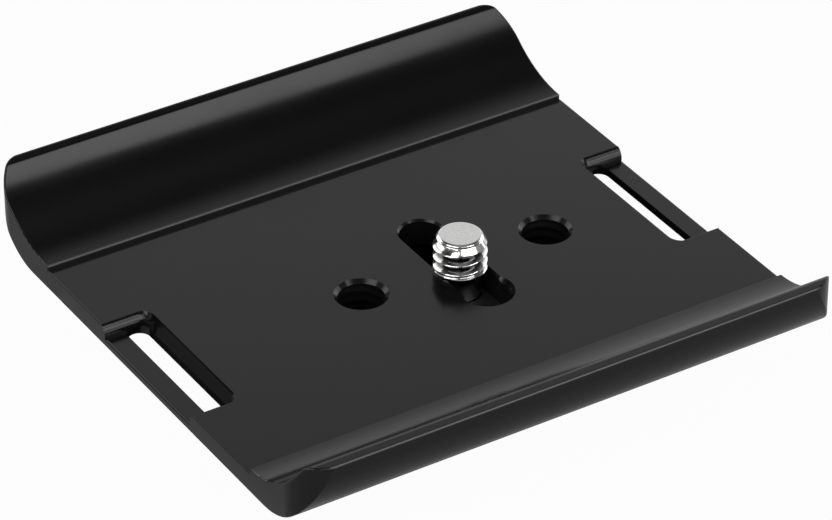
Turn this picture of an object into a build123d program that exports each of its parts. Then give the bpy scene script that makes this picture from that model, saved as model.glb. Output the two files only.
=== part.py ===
# Quick release plate: a machined aluminium camera plate with a low front lip, a higher
# back lip, a strap slot at each side, two tapped holes and a captive camera screw that
# slides in a slot. A dovetail rail underneath goes into a tripod clamp.
# The plate stands on its rail: Z = 0 is the rail's flat foot, X runs along the lips,
# and -Y is the front, where the lower lip is.
import os
from math import acos, degrees, hypot, radians, sin, tan

from build123d import *

# Plate, millimetres
plate_width = 70.2
plate_depth = 70.8
corner_radius = 4.3
floor_thickness = 2.6
side_edge_radius = 0.2

# Bed between the lips, sunk below the foot of each lip by one small step with a rounded edge
bed_step = 0.62
step_edge_radius = 0.15

# Lips: height above the bed, flat land on top, hollow inner face, leaning outer face,
# rounded belly underneath
front_lip_height = 6.65
front_land = 1.75
front_hollow_radius = 11.05
front_lean = 7.0
front_belly_radius = 8.7
front_crest_radius = 1.2
back_lip_height = 7.45
back_land = 1.1
back_hollow_radius = 14.7
back_lean = 20.5
back_belly_radius = 8.4
back_crest_radius = 1.2
lip_edge_radius = 0.25

# Dovetail rail under the plate
rail_length = 50.0
rail_width = 38.0
rail_height = 6.4
rail_land = 0.9
rail_undercut = 3.0
rail_corner_radius = 3.0
rail_edge_break = 0.4

# Screw slot and tapped holes, all on one line across the plate. The slot's front end is tapped
# too, so that the screw can be turned in through it. Tapped walls are at the thread's middle.
pattern_x = 5.35
pattern_y = -1.1
hole_spacing = 25.0
hole_radius = 3.2
tapped_radius = 2.75
mouth_angle = 90
slot_width = 5.16
slot_rim_break = 0.25
slot_back = 7.15
slot_front = 6.95
slot_mouth_radius = 3.25

# Channel under the slot for the screw's head
slot_web = 3.4
channel_width = 13.0

# Strap slots: a pocket open to the plate's side, with a slot that leaves a bar. The
# pocket's ends bulge a little, so that it is longer at the bed than at its floor.
strap_pocket_reach = 6.0
strap_pocket_length = 20.8
strap_floor_length = 19.2
strap_end_bulge = 0.25
strap_pocket_depth = 1.55
strap_pocket_radius = 1.2
strap_bar_width = 2.5
strap_bar_edge_radius = 0.3
strap_slot_width = 2.75
strap_slot_length = 20.1

# Camera screw and its washer
screw_back = -1.2
screw_rise = 4.35
thread_radius = 3.175
thread_clearance = 0.1
tip_chamfer = 0.8
shank_radius = 2.45
head_radius = 6.0
head_height = 2.8
head_chamfer = 0.4
socket_across_flats = 5.0
socket_depth = 1.9
washer_radius = 5.7
washer_thickness = 0.6
washer_bore_clearance = 0.15
face_clearance = 0.05

# How close two places must lie to count as the same, and where along an edge it is tried
same_place = 0.01
tried_shares = (0.1, 0.5, 0.9)

# Levels and places that follow from the sizes above
floor_level = rail_height
bed_level = floor_level + floor_thickness
step_level = bed_level + bed_step
front_crest = bed_level + front_lip_height
back_crest = bed_level + back_lip_height
half_width = plate_width / 2
half_depth = plate_depth / 2
channel_ceiling = bed_level - slot_web
strap_floor = bed_level - strap_pocket_depth
slot_run = slot_back + slot_front
slot_middle_y = pattern_y + (slot_back - slot_front) / 2
screw_y = pattern_y + screw_back


def hollow_angle(radius, crest):
    """Turn of a hollow arc that starts level at the step and ends at the crest."""
    return degrees(acos(1 - (crest - step_level) / radius))


def belly_run(crest, lean):
    """How far a leaning outer face comes in between the crest and the floor."""
    return (crest - floor_level) * tan(radians(lean))


def hollow_run(radius, crest):
    """How far a hollow arc reaches towards its lip."""
    return radius * sin(radians(hollow_angle(radius, crest)))


def on_outline(edge):
    """True for an edge that lies in the plate's rounded outline, seen from above."""
    for share in tried_shares:
        point = edge @ share
        out_x = max(abs(point.X) - half_width + corner_radius, 0)
        out_y = max(abs(point.Y) - half_depth + corner_radius, 0)
        if abs(hypot(out_x, out_y) - corner_radius) > same_place:
            return False
    return True


bed_front = half_depth - front_land - hollow_run(front_hollow_radius, front_crest)
bed_back = half_depth - back_land - hollow_run(back_hollow_radius, back_crest)

# Plate body: the section across both lips, carried along X, with rounded corners in plan
front_foot = (-half_depth + belly_run(front_crest, front_lean), floor_level)
front_edge = (-half_depth, front_crest)
back_foot = (half_depth - belly_run(back_crest, back_lean), floor_level)
back_edge = (half_depth, back_crest)

with BuildPart() as rail:
    with BuildSketch(Plane.YZ):
        with BuildLine():
            half_rail = rail_width / 2
            neck = half_rail - rail_undercut
            Polyline(
                (0, 0),
                (half_rail - rail_edge_break, 0),
                (half_rail, rail_edge_break),
                (half_rail, rail_land),
                (neck, rail_land + rail_undercut),
                (neck, floor_level),
                (0, floor_level),
                close=True,
            )
        make_face()
        mirror(about=Plane.YZ)
    extrude(amount=rail_length / 2, both=True)
    with BuildSketch(Plane.XY):
        RectangleRounded(rail_length, rail_width, rail_corner_radius)
    extrude(amount=floor_level, mode=Mode.INTERSECT)

with BuildPart() as plate:
    with BuildSketch(Plane.YZ) as section:
        with BuildLine():
            front_hollow = JernArc(
                start=(-bed_front, step_level),
                tangent=(-1, 0),
                radius=front_hollow_radius,
                arc_size=-hollow_angle(front_hollow_radius, front_crest),
            )
            back_hollow = JernArc(
                start=(bed_back, step_level),
                tangent=(1, 0),
                radius=back_hollow_radius,
                arc_size=hollow_angle(back_hollow_radius, back_crest),
            )
            Polyline(front_hollow @ 1, front_edge, front_foot, back_foot, back_edge, back_hollow @ 1)
            Polyline(
                (-bed_front, step_level),
                (-bed_front, bed_level),
                (bed_back, bed_level),
                (bed_back, step_level),
            )
        make_face()
        rounded_corners = [
            (front_foot, front_belly_radius),
            (back_foot, back_belly_radius),
            (front_hollow @ 1, front_crest_radius),
            (back_hollow @ 1, back_crest_radius),
            (front_edge, lip_edge_radius),
            (back_edge, lip_edge_radius),
            ((-bed_front, step_level), step_edge_radius),
            ((bed_back, step_level), step_edge_radius),
        ]
        for corner, radius in rounded_corners:
            nearest = section.vertices().sort_by_distance(Vector(*corner))[0]
            fillet(nearest, radius)
    extrude(amount=half_width, both=True)
    with BuildSketch(Plane.XY):
        RectangleRounded(plate_width, plate_depth, corner_radius)
    extrude(amount=max(front_crest, back_crest), mode=Mode.INTERSECT)

    # Small rounding along both sides, over the bed, the steps, the lips and round their corners
    outline = plate.edges().filter_by(on_outline).filter_by(Axis.Z, reverse=True)
    upper = outline.filter_by(lambda edge: edge.center().Z > (floor_level + bed_level) / 2)
    fillet(upper, side_edge_radius)

    # Strap pockets with rounded inner corners
    floor_end = (pattern_y + strap_floor_length / 2, strap_floor)
    bed_end = (pattern_y + strap_pocket_length / 2, bed_level)
    for side in (-1, 1):
        inner_x = side * (half_width - strap_pocket_reach)
        with BuildSketch(Plane.YZ.offset(inner_x)):
            with BuildLine():
                SagittaArc(floor_end, bed_end, strap_end_bulge)
                Polyline(floor_end, (pattern_y, strap_floor), (pattern_y, bed_level), bed_end)
            make_face()
            mirror(about=Plane.YZ.offset(pattern_y))
        extrude(amount=side * strap_pocket_reach, mode=Mode.SUBTRACT)
        for end in (-1, 1):
            end_y = pattern_y + end * (strap_pocket_length + strap_floor_length) / 4
            corner = Vector(inner_x, end_y, (bed_level + strap_floor) / 2)
            arcs = plate.edges().filter_by(GeomType.CIRCLE)
            fillet(arcs.sort_by_distance(corner)[0], strap_pocket_radius)

    # Strap slots, and the rounded outer edge of the bar outside each slot
    slot_x = half_width - strap_bar_width - strap_slot_width / 2
    with BuildSketch(Plane.XY.offset(floor_level)):
        with Locations((-slot_x, pattern_y), (slot_x, pattern_y)):
            SlotOverall(strap_slot_length, strap_slot_width, rotation=90)
    extrude(amount=strap_floor - floor_level, mode=Mode.SUBTRACT)
    bar_edges = plate.edges().filter_by(Axis.Y).filter_by(on_outline).group_by(Axis.Z)[1]
    fillet(bar_edges, strap_bar_edge_radius)

    # Rail
    add(rail.part)

    # Slot for the screw, with a broken rim, and the channel for the screw's head below
    with BuildSketch(Plane.XY.offset(channel_ceiling)):
        with Locations((pattern_x, slot_middle_y)):
            SlotCenterToCenter(slot_run, slot_width, rotation=90)
    extrude(amount=slot_web, mode=Mode.SUBTRACT)
    flats = plate.faces().filter_by(Axis.Z)
    bed = flats.filter_by(lambda face: abs(face.center().Z - bed_level) < same_place)[0]
    chamfer(bed.inner_wires()[0].edges(), slot_rim_break)
    with BuildSketch(Plane.XY):
        with Locations((pattern_x, slot_middle_y)):
            SlotCenterToCenter(slot_run, channel_width, rotation=90)
    extrude(amount=channel_ceiling, mode=Mode.SUBTRACT)

    # Tapped holes with conical mouths: the slot's front end, and two right through the rail
    with Locations((pattern_x, pattern_y - slot_front, bed_level)):
        CounterSinkHole(tapped_radius, slot_mouth_radius, counter_sink_angle=mouth_angle)
    with Locations((pattern_x, pattern_y, bed_level)):
        with GridLocations(hole_spacing, 0, 2, 1):
            CounterSinkHole(tapped_radius, hole_radius, counter_sink_angle=mouth_angle)

plate.part.label = "plate"

# Camera screw: thread, narrower shank, round head with a hex socket underneath
head_top = channel_ceiling - washer_thickness - 2 * face_clearance
head_foot = head_top - head_height
thread_foot = bed_level + thread_clearance
tip_level = bed_level + screw_rise
screw_plane = Plane(origin=(pattern_x, screw_y, 0), x_dir=(1, 0, 0), z_dir=(0, -1, 0))

with BuildPart() as camera_screw:
    with BuildSketch(screw_plane):
        with BuildLine():
            Polyline(
                (0, head_foot),
                (head_radius - head_chamfer, head_foot),
                (head_radius, head_foot + head_chamfer),
                (head_radius, head_top),
                (shank_radius, head_top),
                (shank_radius, thread_foot),
                (thread_radius, thread_foot),
                (thread_radius, tip_level - tip_chamfer),
                (thread_radius - tip_chamfer, tip_level),
                (0, tip_level),
                close=True,
            )
        make_face()
    revolve(axis=Axis((pattern_x, screw_y, 0), (0, 0, 1)))
    with BuildSketch(Plane.XY.offset(head_foot)):
        with Locations((pattern_x, screw_y)):
            RegularPolygon(socket_across_flats / 2, 6, major_radius=False)
    extrude(amount=socket_depth, mode=Mode.SUBTRACT)

camera_screw.part.label = "camera_screw"

# Washer between the screw's head and the channel's ceiling
with BuildPart() as screw_washer:
    with BuildSketch(Plane.XY.offset(channel_ceiling - face_clearance - washer_thickness)):
        with Locations((pattern_x, screw_y)):
            Circle(washer_radius)
            Circle(shank_radius + washer_bore_clearance, mode=Mode.SUBTRACT)
    extrude(amount=washer_thickness)

screw_washer.part.label = "screw_washer"

os.makedirs("parts", exist_ok=True)
export_step(plate.part, "parts/plate.step")
export_step(camera_screw.part, "parts/camera_screw.step")
export_step(screw_washer.part, "parts/screw_washer.step")
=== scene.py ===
import math

import bpy
import numpy as np
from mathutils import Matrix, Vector


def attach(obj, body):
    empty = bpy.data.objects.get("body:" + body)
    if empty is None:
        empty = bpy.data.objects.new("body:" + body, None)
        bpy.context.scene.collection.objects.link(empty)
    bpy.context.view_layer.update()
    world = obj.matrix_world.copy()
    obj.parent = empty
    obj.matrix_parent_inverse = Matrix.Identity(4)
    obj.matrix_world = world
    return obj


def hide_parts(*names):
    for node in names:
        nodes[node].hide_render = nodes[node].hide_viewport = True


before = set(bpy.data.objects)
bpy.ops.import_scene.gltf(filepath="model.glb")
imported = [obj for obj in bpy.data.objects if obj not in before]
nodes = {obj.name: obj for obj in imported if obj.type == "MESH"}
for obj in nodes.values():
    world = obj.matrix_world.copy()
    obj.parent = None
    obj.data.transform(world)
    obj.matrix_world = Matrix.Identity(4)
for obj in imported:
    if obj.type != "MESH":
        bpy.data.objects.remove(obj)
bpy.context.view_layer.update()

MM = 0.001
TURN = 2 * math.pi

# Sizes of the plate in metres, the same as in the part's source
BED_LEVEL = 9.0 * MM
UNDERSIDE_LEVEL = 6.4 * MM
STRAP_FLOOR = 7.45 * MM
CHANNEL_CEILING = 5.6 * MM
HALF_WIDTH = 35.1 * MM
PATTERN_X = 5.35 * MM
PATTERN_Y = -1.1 * MM
HOLE_SPACING = 25.0 * MM
HOLE_RIM_RADIUS = 3.2 * MM
TAPPED_RADIUS = 2.75 * MM
SLOT_FRONT = 6.95 * MM
SLOT_MOUTH_RADIUS = 3.25 * MM
SCREW_Y = -2.3 * MM

# Camera: where it stands, where it looks and its lens on a 36 mm wide picture
CAMERA_PLACE = Vector((-0.23017, -0.369125, 0.30364))
CAMERA_AIM = Vector((0.43995, 0.70294, -0.55887))
CAMERA_LENS = 198.76
PICTURE_WIDTH = 36.0
CAMERA_BEARING = math.atan2(-CAMERA_AIM.y, -CAMERA_AIM.x)


# Meshes

# Turn in degrees from which an edge is sharp: on the screw, on tapped walls and on thin strips
SHARP_EDGE = 30.0
SHARP_TAPPED_EDGE = 40.0
SHARP_STRIP_EDGE = 50.0


def link_object(name, data):
    """New object in the scene that holds a mesh, a lamp or a camera."""
    holder = bpy.data.objects.new(name, data)
    bpy.context.scene.collection.objects.link(holder)
    return holder


def link_mesh(name, points, faces, sharp_degrees=SHARP_EDGE):
    """New piece at the origin from a list of points and faces, shaded smooth except over edges
    that turn by more than the given angle."""
    mesh = bpy.data.meshes.new(name)
    mesh.from_pydata(points.reshape(-1, 3).tolist(), [], faces)
    mesh.update()
    mesh.shade_smooth()
    mesh.set_sharp_from_angle(angle=math.radians(sharp_degrees))
    return link_object(name, mesh)


def grid_faces(rows, columns, rows_closed, columns_closed):
    """Four-sided faces between neighbouring points of a grid. Where columns run round to the
    left and rows run down, the faces point outwards. Closed rows or columns join the last to
    the first."""
    row = np.arange(rows if rows_closed else rows - 1)[:, None]
    column = np.arange(columns if columns_closed else columns - 1)[None, :]
    below = (row + 1) % rows
    beside = (column + 1) % columns
    corners = (
        row * columns + column,
        below * columns + column,
        below * columns + beside,
        row * columns + beside,
    )
    return np.stack(corners, axis=-1).reshape(-1, 4).tolist()


def capped_faces(rows, columns):
    """Faces of a solid whose closed section, one column of points, is carried along the columns,
    with one many-sided face at each end."""
    first = np.arange(rows) * columns
    last = first + columns - 1
    ends = [first[::-1].tolist(), last.tolist()]
    return grid_faces(rows, columns, rows_closed=True, columns_closed=False) + ends


def turned_points(radius, height, angle, centre):
    """Points at x = centre + radius * cos(angle), y = centre + radius * sin(angle), z = height,
    for whole grids of radius and height with one row per ring."""
    x = centre[0] + radius * np.cos(angle)
    y = centre[1] + radius * np.sin(angle)
    return np.stack((x, y, height), axis=-1)


def eased(value, low, high):
    """0 up to low, 1 from high on, and a smooth rise, 3 t^2 - 2 t^3, between them."""
    share = np.clip((value - low) / (high - low), 0, 1)
    return share**2 * (3 - 2 * share)


def raised_cosine(turns):
    """0 at whole numbers of turns and 1 halfway between them: half of 1 less the cosine."""
    return 0.5 - 0.5 * np.cos(TURN * turns)


THREAD_PITCH = 1.27 * MM
THREAD_ROUNDING = 0.12


def thread_share(height, angle, crest_level, crest_angle):
    """Share of the thread's depth, 1 on the crest and 0 in the root, of a right-hand helix.
    The phase is height / pitch less angle / turn, counted from one point on the crest. With its
    distance from the nearest crest, 0 to 1, the share falls as the difference of two hyperbolas,
    straight down the flank and rounded on the crest and in the root."""
    phase = (height - crest_level) / THREAD_PITCH - (angle - crest_angle) / TURN
    away = np.abs(2 * (phase - np.round(phase)))
    fall = np.hypot(away, THREAD_ROUNDING) - np.hypot(1 - away, THREAD_ROUNDING)
    whole = math.hypot(1, THREAD_ROUNDING) - THREAD_ROUNDING
    return 0.5 - fall / (2 * whole)


# Camera screw

SCREW_COLUMNS = 200
SCREW_RADIUS = 3.17 * MM
SCREW_SHANK_RADIUS = 2.45 * MM
SHANK_FILLET = 0.1 * MM

TIP_ROWS = 90
TIP_EDGE_ROWS = 12
SCREW_TIP = 13.5 * MM
TIP_MIDDLE_RADIUS = 0.03 * MM
TIP_FLAT_RADIUS = 2.3 * MM
TIP_EDGE_RADIUS = 0.4 * MM
TIP_EDGE_TURN = math.radians(57)
TIP_RING_PITCH = 0.36 * MM
TIP_RING_DEPTH = 0.0035 * MM
# Heights and radii in mm of the neck and the cone below the tip's edge
TIP_NECK = ((13.25, 2.665), (13.19, 2.64), (13.13, 2.71), (12.45, 3.166), (9.0, 3.2))

SCREW_THREAD_ROWS = 260
SCREW_THREAD_DEPTH = 0.78 * MM
SCREW_THREAD_FOOT = 9.1 * MM
SCREW_CREST_LEVEL = 12.3 * MM
SCREW_RUN_OUT = 0.5 * MM
SCREW_FOOT_EDGE = 0.08 * MM
LEAD_IN_START = math.radians(15)
LEAD_IN_END = math.radians(-30)

HEAD_TOP = 4.9 * MM
HEAD_FOOT = 2.1 * MM
HEAD_RADIUS = 6.0 * MM
HEAD_CHAMFER = 0.4 * MM
HEAD_EDGE = 0.12 * MM
# How far the middle of a rounded edge lies inside its corner, as a share of the edge's size
ROUND_SHARE = 0.3

SOCKET_SIDES = 6
SOCKET_HALF_FLATS = 2.5 * MM
SOCKET_DEPTH = 1.9 * MM
SOCKET_MOUTH = 0.25 * MM
SOCKET_FLOOR_EDGE = 0.08 * MM
# Size of the socket's floor and of the small ring in its middle, as shares of the hexagon
SOCKET_FLOOR_SHARE = 0.96
SOCKET_MIDDLE_SHARE = 0.02


def make_camera_screw():
    """One turned surface from the middle of the tip down to the middle of the socket: rings on
    the tip (a cosine of the radius), a rounded edge, a shallow neck and a cone, into which the
    helical thread leads in over part of its first turn, a run-out, the shank, the head and a
    hexagonal socket, whose radius at an angle is half the width across flats divided by the cosine
    of the angle to the nearest flat's middle."""
    angle = np.linspace(0, TURN, SCREW_COLUMNS, endpoint=False)[None, :]
    flat = np.zeros_like(angle)

    ring_radius = np.linspace(TIP_MIDDLE_RADIUS, TIP_FLAT_RADIUS, TIP_ROWS)
    ring_height = SCREW_TIP - TIP_RING_DEPTH * raised_cosine(ring_radius / TIP_RING_PITCH)
    edge_turn = np.linspace(0, TIP_EDGE_TURN, TIP_EDGE_ROWS)[1:]
    edge_radius = TIP_FLAT_RADIUS + TIP_EDGE_RADIUS * np.sin(edge_turn)
    edge_height = SCREW_TIP - TIP_EDGE_RADIUS * (1 - np.cos(edge_turn))
    tip_radius = np.concatenate((ring_radius, edge_radius))[:, None] + flat
    tip_height = np.concatenate((ring_height, edge_height))[:, None] + flat

    thread_end = SCREW_THREAD_FOOT + SCREW_FOOT_EDGE
    thread_height = np.linspace(edge_height[-1], thread_end, SCREW_THREAD_ROWS)[1:, None]
    share = thread_share(thread_height, angle, SCREW_CREST_LEVEL, CAMERA_BEARING)
    run_out = np.clip((thread_height - SCREW_THREAD_FOOT) / SCREW_RUN_OUT, 0, 1)
    side = np.mod(angle - CAMERA_BEARING + TURN / 2, TURN) - TURN / 2
    turns = (thread_height - SCREW_CREST_LEVEL) / THREAD_PITCH - side / TURN
    first_turn = eased(-side, -LEAD_IN_START, -LEAD_IN_END) * (turns < 1)
    cut = SCREW_THREAD_DEPTH * run_out * np.where(turns < 0, 1, first_turn)
    neck_height, neck_radius = np.array(TIP_NECK[::-1]).T * MM
    cone = np.interp(thread_height, neck_height, neck_radius)
    thread_radius = np.minimum(SCREW_RADIUS - cut * (1 - share), cone)

    foot_round = SCREW_FOOT_EDGE * ROUND_SHARE
    head_round = HEAD_EDGE * ROUND_SHARE
    shank_and_head = (
        (SCREW_RADIUS - foot_round, SCREW_THREAD_FOOT + foot_round),
        (SCREW_RADIUS - SCREW_FOOT_EDGE, SCREW_THREAD_FOOT),
        (SCREW_SHANK_RADIUS, SCREW_THREAD_FOOT),
        (SCREW_SHANK_RADIUS, HEAD_TOP + SHANK_FILLET),
        (SCREW_SHANK_RADIUS + SHANK_FILLET, HEAD_TOP),
        (HEAD_RADIUS - HEAD_EDGE, HEAD_TOP),
        (HEAD_RADIUS - head_round, HEAD_TOP - head_round),
        (HEAD_RADIUS, HEAD_TOP - HEAD_EDGE),
        (HEAD_RADIUS, HEAD_FOOT + HEAD_CHAMFER),
        (HEAD_RADIUS - HEAD_CHAMFER, HEAD_FOOT),
    )
    head_radius, head_height = np.array(shank_and_head).T[:, :, None] + flat

    flat_turn = TURN / SOCKET_SIDES
    hexagon = SOCKET_HALF_FLATS / np.cos(np.mod(angle, flat_turn) - flat_turn / 2)
    socket_end = HEAD_FOOT + SOCKET_DEPTH
    socket = (
        (hexagon + SOCKET_MOUTH, HEAD_FOOT),
        (hexagon, HEAD_FOOT + SOCKET_MOUTH),
        (hexagon, socket_end - SOCKET_FLOOR_EDGE),
        (hexagon * SOCKET_FLOOR_SHARE, socket_end),
        (hexagon * SOCKET_MIDDLE_SHARE, socket_end),
    )
    socket_radius = np.concatenate([ring for ring, level in socket])
    socket_height = np.concatenate([level + flat for ring, level in socket])

    radius = np.concatenate((tip_radius, thread_radius, head_radius, socket_radius))
    height = np.concatenate((tip_height, thread_height + flat, head_height, socket_height))
    centre = (PATTERN_X, SCREW_Y)
    points = turned_points(radius, height, angle, centre)
    rows = points.shape[0]
    faces = grid_faces(rows, SCREW_COLUMNS, rows_closed=False, columns_closed=True)

    lowest = (rows - 1) * SCREW_COLUMNS
    around = np.arange(SCREW_COLUMNS)
    beside = np.roll(around, -1)
    tip_pole = np.full_like(around, rows * SCREW_COLUMNS)
    socket_pole = tip_pole + 1
    faces += np.stack((tip_pole, around, beside), axis=-1).tolist()
    faces += np.stack((socket_pole, lowest + beside, lowest + around), axis=-1).tolist()
    poles = np.array(((*centre, SCREW_TIP), (*centre, socket_end)))
    return link_mesh("turned_screw", np.concatenate((points.reshape(-1, 3), poles)), faces)


# Threads of the tapped holes and of the slot's tapped front end

TAP_ROW_HEIGHT = 0.028 * MM
TAP_CREST_RADIUS = 2.58 * MM
TAP_CREST_LEVEL = 7.62 * MM
TAP_SEAT = 0.02 * MM
TAP_BACK = 0.08 * MM
TAP_FADE = 0.35 * MM
# How far a sleeve reaches up into the conical mouth over it
TAP_MOUTH_REACH = 0.02 * MM


def tapped_points(centre, low, high, angle, side_fade):
    """Grid of a sleeve in a plain tapped wall. The inside is the wall's radius, a little behind
    its face, less the thread's share of the crest height, faded out at both ends and by the given
    share at each angle; the outside is a cylinder seated in the wall."""
    flat = np.zeros_like(angle)
    height = np.linspace(low, high, int((high - low) / TAP_ROW_HEIGHT))[:, None]
    share = thread_share(height, angle, TAP_CREST_LEVEL, CAMERA_BEARING + TURN / 2)
    fade = eased(height, low, low + TAP_FADE) * eased(-height, -high, TAP_FADE - high) * side_fade
    root = TAPPED_RADIUS + TAP_SEAT
    inside = root - (root - TAP_CREST_RADIUS) * share * fade
    outside = TAPPED_RADIUS + TAP_BACK + flat
    radius = np.concatenate((outside, inside, outside))
    heights = np.concatenate((low + flat, height + flat, high + flat))
    return turned_points(radius, heights, angle, centre)


HOLE_THREAD_COLUMNS = 120
HOLE_THREAD_FOOT = 0.1 * MM


def make_hole_thread(name, centre_x):
    """Helical ridge right round a tapped hole, from its conical mouth down to its foot."""
    angle = np.linspace(0, TURN, HOLE_THREAD_COLUMNS, endpoint=False)[None, :]
    high = BED_LEVEL - (HOLE_RIM_RADIUS - TAPPED_RADIUS) + TAP_MOUTH_REACH
    centre = (centre_x, PATTERN_Y)
    points = tapped_points(centre, HOLE_THREAD_FOOT, high, angle, np.ones_like(angle))
    faces = grid_faces(*points.shape[:2], rows_closed=True, columns_closed=True)
    return link_mesh(name, points, faces, SHARP_TAPPED_EDGE)


SLOT_THREAD_COLUMNS = 80
SLOT_THREAD_FOOT = CHANNEL_CEILING + 0.05 * MM
SLOT_THREAD_START = math.radians(161)
SLOT_THREAD_END = math.radians(379)
SLOT_THREAD_FADE = math.radians(14)


def make_slot_thread():
    """Helical ridge on the tapped wall at the slot's front end, an arc that fades out where the
    wall meets the slot's straight sides."""
    angle = np.linspace(SLOT_THREAD_START, SLOT_THREAD_END, SLOT_THREAD_COLUMNS)[None, :]
    rise = eased(angle, SLOT_THREAD_START, SLOT_THREAD_START + SLOT_THREAD_FADE)
    fall = eased(-angle, -SLOT_THREAD_END, SLOT_THREAD_FADE - SLOT_THREAD_END)
    high = BED_LEVEL - (SLOT_MOUTH_RADIUS - TAPPED_RADIUS) + TAP_MOUTH_REACH
    centre = (PATTERN_X, PATTERN_Y - SLOT_FRONT)
    points = tapped_points(centre, SLOT_THREAD_FOOT, high, angle, rise * fall)
    return link_mesh("slot_thread", points, capped_faces(*points.shape[:2]), SHARP_TAPPED_EDGE)


# Cutter steps on the ends of the strap pockets, and cutter flutes on the slots' inner walls

POCKET_FLOOR_HALF = 9.6 * MM
POCKET_BED_HALF = 10.4 * MM
POCKET_BULGE = 0.25 * MM
POCKET_REACH = 6.0 * MM
POCKET_CORNER = 1.2 * MM

STEP_ROWS = 90
STEP_COLUMNS = 24
# Shares of the wall's arc: how much the strip covers, where the steps begin and their pitch
STEP_SPAN = 0.985
STEP_LOW = 0.3
STEP_PITCH = 0.15
STEP_HEIGHT = 0.012 * MM
STEP_BACK = 0.06 * MM
STEP_SEAT = 0.004 * MM
STEP_FADE = 0.5 * MM
STEP_SIDE_GAP = 0.02 * MM


def make_pocket_steps(name, side, end):
    """Rounded level steps on one end wall of a strap pocket. The wall's section is an arc with
    its chord from the pocket's floor to the bed; on its upper part the steps stand out from it by
    a cubed raised cosine of the way along the arc, and they fade out towards the pocket's inner
    corner. The back of the strip is the same arc a little way inside the wall. Side is -1 for the
    left pocket and 1 for the right, end is -1 for the front wall and 1 for the back."""
    floor_point = np.array((PATTERN_Y + end * POCKET_FLOOR_HALF, STRAP_FLOOR))
    bed_point = np.array((PATTERN_Y + end * POCKET_BED_HALF, BED_LEVEL))
    chord = bed_point - floor_point
    half = np.hypot(*chord) / 2
    along = chord / (2 * half)
    outward = end * np.array((-along[1], along[0]))
    radius = (half**2 + POCKET_BULGE**2) / (2 * POCKET_BULGE)
    centre = (floor_point + bed_point) / 2 - outward * (radius - POCKET_BULGE)
    reach = math.asin(half / radius)

    turn = np.linspace(-reach, reach, STEP_ROWS) * STEP_SPAN
    way = turn / (2 * reach) + 0.5
    wave = raised_cosine((way - STEP_LOW) / STEP_PITCH) ** 3 * (way > STEP_LOW)
    from_corner = np.linspace(0, 1, STEP_COLUMNS)
    inner = HALF_WIDTH - POCKET_REACH + POCKET_CORNER
    x = side * (inner + (HALF_WIDTH - STEP_SIDE_GAP - inner) * from_corner)
    fade = eased(np.abs(x), inner, inner + STEP_FADE)
    front = (radius - STEP_SEAT) + STEP_HEIGHT * wave[:, None] * fade[None, :]
    back = np.full_like(front, radius - STEP_BACK)
    rise = np.concatenate((front, back[::-1]))
    turned = np.concatenate((turn, turn[::-1]))[:, None]
    y = centre[0] + rise * (outward[0] * np.cos(turned) + along[0] * np.sin(turned))
    z = centre[1] + rise * (outward[1] * np.cos(turned) + along[1] * np.sin(turned))
    points = np.stack((x[None, :] + np.zeros_like(y), y, z), axis=-1)
    if side * end > 0:
        points = points[:, ::-1]
    return link_mesh(name, points, capped_faces(*points.shape[:2]), SHARP_STRIP_EDGE)


SLOT_WALL_X = 29.85 * MM

FLUTE_COLUMNS = 420
FLUTE_HALF_LENGTH = 8.5 * MM
FLUTE_PITCH = 0.36 * MM
FLUTE_HEIGHT = 0.012 * MM
FLUTE_BACK = 0.05 * MM
FLUTE_SEAT = 0.002 * MM
FLUTE_FADE = 2 * FLUTE_PITCH
FLUTE_END_GAP = 0.02 * MM


def make_slot_flutes(name, side):
    """Upright flutes on the inner wall of a strap slot: a flat strip whose face stands out from
    the wall by a raised cosine of the way along it, faded out at both ends. Side is -1 for the
    left slot and 1 for the right."""
    y = np.linspace(-FLUTE_HALF_LENGTH, FLUTE_HALF_LENGTH, FLUTE_COLUMNS)
    fade = eased(FLUTE_HALF_LENGTH - np.abs(y), 0, FLUTE_FADE)
    face = FLUTE_HEIGHT * raised_cosine(y / FLUTE_PITCH) * fade - FLUTE_SEAT
    back = np.full_like(y, -FLUTE_BACK)
    proud = np.stack((face, face, back, back))
    flat = np.zeros_like(proud)
    low = UNDERSIDE_LEVEL + FLUTE_END_GAP
    high = STRAP_FLOOR - FLUTE_END_GAP
    z = np.array((high, low, low, high))[:, None] + flat
    points = np.stack((side * (SLOT_WALL_X + proud), PATTERN_Y + y + flat, z), axis=-1)
    if side < 0:
        points = points[:, ::-1]
    return link_mesh(name, points, capped_faces(*points.shape[:2]), SHARP_STRIP_EDGE)


# Materials

WHITE = (1, 1, 1, 1)

# Places of a Mix node's colours among its sockets
MIX_FIRST, MIX_SECOND = 6, 7
MIX_RESULT = 2


def grey(shade):
    """Colour without a tint."""
    return (shade, shade, shade, 1)


def add_node(tree, kind, **settings):
    """New node in a tree. Settings name its properties."""
    new = tree.nodes.new(kind)
    for key, value in settings.items():
        setattr(new, key, value)
    return new


def mapped(tree, value, low, high, new_low, new_high):
    """Value between low and high spread to the range from new_low to new_high."""
    ramp = tree.nodes.new("ShaderNodeMapRange")
    ramp.inputs["From Min"].default_value = low
    ramp.inputs["From Max"].default_value = high
    ramp.inputs["To Min"].default_value = new_low
    ramp.inputs["To Max"].default_value = new_high
    tree.links.new(value, ramp.inputs["Value"])
    return ramp.outputs["Result"]


def joined(tree, operation, first, second):
    """Result of one sum on two values."""
    step = add_node(tree, "ShaderNodeMath", operation=operation)
    tree.links.new(first, step.inputs[0])
    tree.links.new(second, step.inputs[1])
    return step.outputs[0]


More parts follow.
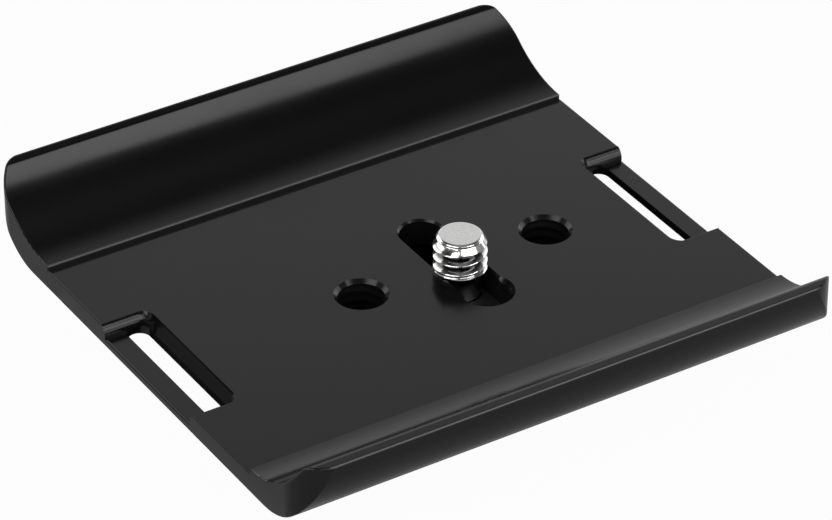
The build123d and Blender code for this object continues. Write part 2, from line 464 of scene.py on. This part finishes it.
def blended(tree, share, first, second):
    """Colour that runs from the first to the second as a share runs from 0 to 1. Each of the two
    is a colour or another node's output."""
    mix = add_node(tree, "ShaderNodeMix", data_type="RGBA")
    for place, colour in ((MIX_FIRST, first), (MIX_SECOND, second)):
        if isinstance(colour, bpy.types.NodeSocket):
            tree.links.new(colour, mix.inputs[place])
        else:
            mix.inputs[place].default_value = colour
    tree.links.new(share, mix.inputs["Factor"])
    return mix.outputs[MIX_RESULT]


def mixed_shaders(tree, share, first, second):
    """Shader that runs from the first to the second as a share runs from 0 to 1."""
    mix = tree.nodes.new("ShaderNodeMixShader")
    tree.links.new(share, mix.inputs["Fac"])
    tree.links.new(first, mix.inputs[1])
    tree.links.new(second, mix.inputs[2])
    return mix.outputs["Shader"]


def distance_from_line(tree, place, point, across):
    """Distance of each place from a line through a point. Across is 0 for the axis that the line
    runs along and 1 for the other two."""
    offset = tree.nodes.new("ShaderNodeMapping")
    offset.inputs["Location"].default_value = [-value for value in point]
    offset.inputs["Scale"].default_value = across
    tree.links.new(place, offset.inputs["Vector"])
    length = add_node(tree, "ShaderNodeVectorMath", operation="LENGTH")
    tree.links.new(offset.outputs["Vector"], length.inputs[0])
    return length.outputs["Value"]


def new_material(name):
    """Empty node material and its output node."""
    material = bpy.data.materials.new(name)
    material.use_nodes = True
    material.node_tree.nodes.clear()
    return material, material.node_tree, material.node_tree.nodes.new("ShaderNodeOutputMaterial")


GRAIN_SIZE = 5000.0
GRAIN_DETAIL = 3.0
GRAIN_ROUGHNESS = 0.6
PATCH_SIZE = 90.0
PATCH_DETAIL = 2.0
# Part of the noise's range that is spread over a finish's own range
NOISE_RANGE = (0.3, 0.7)
BUMP_DEPTH = 0.03 * MM


def grain_group():
    """Fine blasted grain: small noise for the bump's height and the tone, larger soft noise for
    how the finish varies over a face."""
    group = bpy.data.node_groups.new("blasted_grain", "ShaderNodeTree")
    for name, default in (("Grain Size", GRAIN_SIZE), ("Patch Size", PATCH_SIZE)):
        socket = group.interface.new_socket(name, in_out="INPUT", socket_type="NodeSocketFloat")
        socket.default_value = default
    group.interface.new_socket("Vector", in_out="INPUT", socket_type="NodeSocketVector")
    for name in ("Grain", "Patches"):
        group.interface.new_socket(name, in_out="OUTPUT", socket_type="NodeSocketFloat")
    given = group.nodes.new("NodeGroupInput")
    result = group.nodes.new("NodeGroupOutput")
    grain = group.nodes.new("ShaderNodeTexNoise")
    grain.inputs["Detail"].default_value = GRAIN_DETAIL
    grain.inputs["Roughness"].default_value = GRAIN_ROUGHNESS
    patches = group.nodes.new("ShaderNodeTexNoise")
    patches.inputs["Detail"].default_value = PATCH_DETAIL
    links = group.links
    links.new(given.outputs["Vector"], grain.inputs["Vector"])
    links.new(given.outputs["Grain Size"], grain.inputs["Scale"])
    links.new(given.outputs["Vector"], patches.inputs["Vector"])
    links.new(given.outputs["Patch Size"], patches.inputs["Scale"])
    links.new(grain.outputs["Fac"], result.inputs["Grain"])
    links.new(patches.outputs["Fac"], result.inputs["Patches"])
    return group


def grained_material(name, group, dark, light, rough, grain_size, bump, metallic=0.0, index=1.45):
    """Finish whose colour runs from dark to light with the grain and whose roughness runs over a
    range with the patches, under a fine grain bump."""
    material, tree, output = new_material(name)
    links = tree.links
    shader = tree.nodes.new("ShaderNodeBsdfPrincipled")
    links.new(shader.outputs["BSDF"], output.inputs["Surface"])
    place = tree.nodes.new("ShaderNodeTexCoord")
    grain = add_node(tree, "ShaderNodeGroup", node_tree=group)
    grain.inputs["Grain Size"].default_value = grain_size
    links.new(place.outputs["Object"], grain.inputs["Vector"])
    speckle = mapped(tree, grain.outputs["Grain"], *NOISE_RANGE, 0, 1)
    colour = blended(tree, speckle, (*dark, 1), (*light, 1))
    links.new(colour, shader.inputs["Base Color"])
    roughness = mapped(tree, grain.outputs["Patches"], *NOISE_RANGE, *rough)
    links.new(roughness, shader.inputs["Roughness"])
    height = tree.nodes.new("ShaderNodeBump")
    height.inputs["Strength"].default_value = bump
    height.inputs["Distance"].default_value = BUMP_DEPTH
    links.new(grain.outputs["Grain"], height.inputs["Height"])
    links.new(height.outputs["Normal"], shader.inputs["Normal"])
    shader.inputs["Metallic"].default_value = metallic
    shader.inputs["IOR"].default_value = index
    return material


# Painted shade in the thread's roots: radii and heights over which it fades, and its dark shade
ROOT_RADIUS = (2.7 * MM, 3.12 * MM)
ROOT_TOP = (12.3 * MM, 12.5 * MM)
ROOT_FOOT = (9.0 * MM, 9.1 * MM)
ROOT_SHADE = 0.08


def paint_root_shade(material):
    """Painted shade in the thread's roots: between the thread's foot and its first turn, the colour
    falls to a dark shade towards the screw's axis."""
    tree = material.node_tree
    base = tree.nodes["Principled BSDF"].inputs["Base Color"]
    unshaded_colour = base.links[0].from_socket
    place = tree.nodes.new("ShaderNodeTexCoord").outputs["Object"]
    radius = distance_from_line(tree, place, (PATTERN_X, SCREW_Y, 0), (1, 1, 0))
    parts = tree.nodes.new("ShaderNodeSeparateXYZ")
    tree.links.new(place, parts.inputs["Vector"])
    outside = mapped(tree, radius, *ROOT_RADIUS, 0, 1)
    above = mapped(tree, parts.outputs["Z"], *ROOT_TOP, 0, 1)
    below = mapped(tree, parts.outputs["Z"], *ROOT_FOOT, 1, 0)
    clear = joined(tree, "MAXIMUM", outside, joined(tree, "MAXIMUM", above, below))
    tree.links.new(blended(tree, clear, grey(ROOT_SHADE), unshaded_colour), base)


# Depth and height of the lines along X that the two painted edge highlights follow
BACK_STEP_EDGE = (21.88 * MM, 9.62 * MM)
FRONT_LIP_EDGE = (-35.40 * MM, 15.65 * MM)
EDGE_HIGHLIGHT_REACH = (0.12 * MM, 0.28 * MM)
EDGE_HIGHLIGHT_SHADE = 0.055


def paint_edge_highlights(material):
    """Painted highlights along two long edges, the back step's and the front lip's: the colour
    rises to a pale shade with the nearness to a line along X through each edge."""
    tree = material.node_tree
    base = tree.nodes["Principled BSDF"].inputs["Base Color"]
    plain = base.links[0].from_socket
    place = tree.nodes.new("ShaderNodeTexCoord").outputs["Object"]
    masks = []
    for edge in (BACK_STEP_EDGE, FRONT_LIP_EDGE):
        away = distance_from_line(tree, place, (0, *edge), (0, 1, 1))
        masks.append(mapped(tree, away, *EDGE_HIGHLIGHT_REACH, 1, 0))
    highlighted = joined(tree, "MAXIMUM", *masks)
    tree.links.new(blended(tree, highlighted, plain, grey(EDGE_HIGHLIGHT_SHADE)), base)


def dress(piece, material):
    """The piece's only material."""
    piece.data.materials.clear()
    piece.data.materials.append(material)


grain = grain_group()
black_anodised = grained_material(
    "black_anodised", grain, dark=(0.0028, 0.0028, 0.0028), light=(0.0048, 0.0047, 0.0046),
    rough=(0.15, 0.20), grain_size=5200.0, bump=0.06, index=1.36,
)
# Painted highlights along the back step's and the front lip's edges
paint_edge_highlights(black_anodised)
bright_steel = grained_material(
    "bright_steel", grain, dark=(0.70, 0.70, 0.70), light=(0.80, 0.80, 0.79),
    rough=(0.08, 0.14), grain_size=2600.0, bump=0.03, metallic=1.0,
)
# Painted shade in the screw's thread roots
paint_root_shade(bright_steel)
black_nylon = grained_material(
    "black_nylon", grain, dark=(0.004, 0.004, 0.004), light=(0.007, 0.007, 0.007),
    rough=(0.5, 0.62), grain_size=3200.0, bump=0.2,
)

# Pieces

dress(nodes["plate"], black_anodised)
dress(nodes["screw_washer"], black_nylon)

screw = make_camera_screw()
dress(screw, bright_steel)
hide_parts("camera_screw")
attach(screw, "screw")

cut_details = [
    make_hole_thread("hole_thread_left", PATTERN_X - HOLE_SPACING / 2),
    make_hole_thread("hole_thread_right", PATTERN_X + HOLE_SPACING / 2),
    make_slot_thread(),
    make_pocket_steps("pocket_steps_left_front", -1, -1),
    make_pocket_steps("pocket_steps_left_back", -1, 1),
    make_pocket_steps("pocket_steps_right_front", 1, -1),
    make_pocket_steps("pocket_steps_right_back", 1, 1),
    make_slot_flutes("slot_flutes_left", -1),
    make_slot_flutes("slot_flutes_right", 1),
]
for piece in cut_details:
    dress(piece, black_anodised)
    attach(piece, "plate")

# Floor, sky and lamps

STAGE_HALF = 4.0
STAGE_LEVEL = -0.02 * MM
STAGE_SHADE = 0.45
STAGE_WHITE = 0.965
# Distances from the plate's middle over which the floor's tone changes: out from under the rail,
# out from under the plate and on to the open floor. Under the plate, depth counts for more.
UNDER_RAIL = (20.7 * MM, 24 * MM)
UNDER_EDGE = (36 * MM, 41 * MM)
UNDER_DEPTH = 1.4
NEAR_FLOOR = (50 * MM, 120 * MM)


def make_floor():
    """Plain pale floor. Camera and see-through rays find it white, with a part of the light that
    falls on it, so that it keeps the shadow, and dark under the rail; glossy rays find it white
    away from the plate, shaded beside it and painted black under it, a painted shadow. From below
    it is clear."""
    corners = np.array(((-1, -1, 0), (1, -1, 0), (1, 1, 0), (-1, 1, 0)), float) * STAGE_HALF
    corners[:, 2] = STAGE_LEVEL
    floor = link_mesh("floor", corners, [(0, 1, 2, 3)])
    material, tree, output = new_material("white_floor")
    links = tree.links
    diffuse = tree.nodes.new("ShaderNodeBsdfDiffuse")
    diffuse.inputs["Color"].default_value = grey(STAGE_SHADE)
    glow = tree.nodes.new("ShaderNodeEmission")
    glow.inputs["Color"].default_value = WHITE
    clear = tree.nodes.new("ShaderNodeBsdfTransparent")
    rays = tree.nodes.new("ShaderNodeLightPath").outputs
    geometry = tree.nodes.new("ShaderNodeNewGeometry")

    place = tree.nodes.new("ShaderNodeTexCoord")
    size = add_node(tree, "ShaderNodeVectorMath", operation="ABSOLUTE")
    links.new(place.outputs["Object"], size.inputs[0])
    parts = tree.nodes.new("ShaderNodeSeparateXYZ")
    links.new(size.outputs["Vector"], parts.inputs["Vector"])
    width, depth = parts.outputs["X"], parts.outputs["Y"]
    deep = add_node(tree, "ShaderNodeMath", operation="MULTIPLY")
    deep.inputs[1].default_value = UNDER_DEPTH
    links.new(depth, deep.inputs[0])
    from_middle = joined(tree, "MAXIMUM", width, deep.outputs[0])
    under = mapped(tree, from_middle, *UNDER_EDGE, 1, 0)
    beside_rail = mapped(tree, from_middle, *UNDER_RAIL, 0, STAGE_WHITE)
    far = mapped(tree, joined(tree, "MAXIMUM", width, depth), *NEAR_FLOOR, 0, STAGE_WHITE)

    straight = joined(tree, "MAXIMUM", rays["Is Camera Ray"], rays["Is Transmission Ray"])
    seen = joined(tree, "MULTIPLY", straight, beside_rail)
    far_or_under = joined(tree, "MAXIMUM", far, under)
    # Under the plate glossy rays find a glow of strength 0, black: a painted shadow
    mirrored = joined(tree, "MULTIPLY", rays["Is Glossy Ray"], far_or_under)
    lit = joined(tree, "MAXIMUM", straight, mapped(tree, under, 0, 1, 1, 0))
    links.new(lit, glow.inputs["Strength"])
    glowing = joined(tree, "MAXIMUM", seen, mirrored)
    top = mixed_shaders(tree, glowing, diffuse.outputs["BSDF"], glow.outputs["Emission"])
    both = mixed_shaders(tree, geometry.outputs["Backfacing"], top, clear.outputs["BSDF"])
    links.new(both, output.inputs["Surface"])
    dress(floor, material)


# Sky's shade by the height of the direction looked in, 0 at the horizon and 1 overhead
SKY_HORIZON = 0.6
SKY_STOPS = (
    (0.26, 0.72), (0.42, 0.8), (0.56, 0.62), (0.70, 0.32), (0.81, 0.1), (0.85, 0.06), (0.89, 0.2),
)
SKY_ZENITH = 0.9
# Strength behind the plate and in the rest of the sky
SKY_STRENGTH = 1.2
SKY_DIM_STRENGTH = 0.42
# The strong part fades in between these cosines of the angle from straight behind, and fades out
# between these heights
SKY_BEHIND = (0.75, 0.95)
SKY_TOP = (0.75, 0.9)


def bearing_vector(side_degrees, rise_degrees):
    """Direction at an angle to the camera's right and an angle above the floor."""
    bearing = CAMERA_BEARING + math.radians(side_degrees)
    rise = math.radians(rise_degrees)
    return Vector((
        math.cos(bearing) * math.cos(rise), math.sin(bearing) * math.cos(rise), math.sin(rise)
    ))


def make_sky():
    """Studio surroundings: pale behind the plate and straight overhead, darker between and all
    round the rest, and plain white where the camera looks past the floor."""
    world = bpy.data.worlds.new("studio")
    bpy.context.scene.world = world
    world.use_nodes = True
    tree = world.node_tree
    tree.nodes.clear()
    links = tree.links
    output = tree.nodes.new("ShaderNodeOutputWorld")
    back = tree.nodes.new("ShaderNodeBackground")
    white = tree.nodes.new("ShaderNodeBackground")
    white.inputs["Color"].default_value = WHITE
    rays = tree.nodes.new("ShaderNodeLightPath")

    direction = tree.nodes.new("ShaderNodeTexCoord").outputs["Generated"]
    parts = tree.nodes.new("ShaderNodeSeparateXYZ")
    links.new(direction, parts.inputs["Vector"])
    ramp = tree.nodes.new("ShaderNodeValToRGB")
    stops = ramp.color_ramp.elements
    stops[0].position = 0.0
    stops[0].color = grey(SKY_HORIZON)
    stops[1].position = 1.0
    stops[1].color = grey(SKY_ZENITH)
    for height, shade in SKY_STOPS:
        stops.new(height).color = grey(shade)
    links.new(parts.outputs["Z"], ramp.inputs["Fac"])
    links.new(ramp.outputs["Color"], back.inputs["Color"])

    level = add_node(tree, "ShaderNodeVectorMath", operation="MULTIPLY")
    level.inputs[1].default_value = (1, 1, 0)
    links.new(direction, level.inputs[0])
    bearing = add_node(tree, "ShaderNodeVectorMath", operation="NORMALIZE")
    links.new(level.outputs["Vector"], bearing.inputs[0])
    towards = add_node(tree, "ShaderNodeVectorMath", operation="DOT_PRODUCT")
    towards.inputs[1].default_value = bearing_vector(180, 0)
    links.new(bearing.outputs["Vector"], towards.inputs[0])
    behind = mapped(tree, towards.outputs["Value"], *SKY_BEHIND, 0, 1)
    low = mapped(tree, parts.outputs["Z"], *SKY_TOP, 1, 0)
    bright = joined(tree, "MULTIPLY", behind, low)
    links.new(mapped(tree, bright, 0, 1, SKY_DIM_STRENGTH, SKY_STRENGTH), back.inputs["Strength"])
    sky = mixed_shaders(
        tree, rays.outputs["Is Camera Ray"], back.outputs["Background"], white.outputs["Background"]
    )
    links.new(sky, output.inputs["Surface"])


def stand(holder, place, look):
    """Stands a lamp or a camera at a place and turns it to look in a direction."""
    holder.location = place
    holder.rotation_euler = look.to_track_quat("-Z", "Y").to_euler()


LAMP_DISTANCE = 0.9
# Angle to the camera's right and angle above the floor in degrees, width, height and radiance
LAMPS = (
    ("left_softbox", -42, 38, 0.8, 0.56, 3.3),
    ("right_softbox", 57, 27, 0.44, 0.7, 3.7),
    ("front_softbox", 26, 30, 0.56, 0.6, 1.9),
    ("left_reflector", -128, 25, 0.6, 0.6, 1.8),
    ("right_reflector", 128, 20, 0.6, 0.5, 1.6),
)


def soft_lamp(name, side_degrees, rise_degrees, width, height, radiance):
    """Soft lamp aimed at the plate, at an angle to the camera's right and an angle above the
    floor; power is radiance * pi * area."""
    lamp = bpy.data.lights.new(name, "AREA")
    lamp.shape = "RECTANGLE"
    lamp.size = width
    lamp.size_y = height
    lamp.energy = radiance * math.pi * width * height
    out = bearing_vector(side_degrees, rise_degrees)
    stand(link_object(name, lamp), out * LAMP_DISTANCE, -out)


make_floor()
make_sky()
for lamp_values in LAMPS:
    soft_lamp(*lamp_values)

camera = bpy.data.cameras.new("camera")
camera.sensor_fit = "HORIZONTAL"
camera.sensor_width = PICTURE_WIDTH
camera.lens = CAMERA_LENS
camera_holder = link_object("camera", camera)
stand(camera_holder, CAMERA_PLACE, CAMERA_AIM)
bpy.context.scene.camera = camera_holder
bpy.context.scene.view_settings.view_transform = "Standard"

bpy.context.view_layer.update()
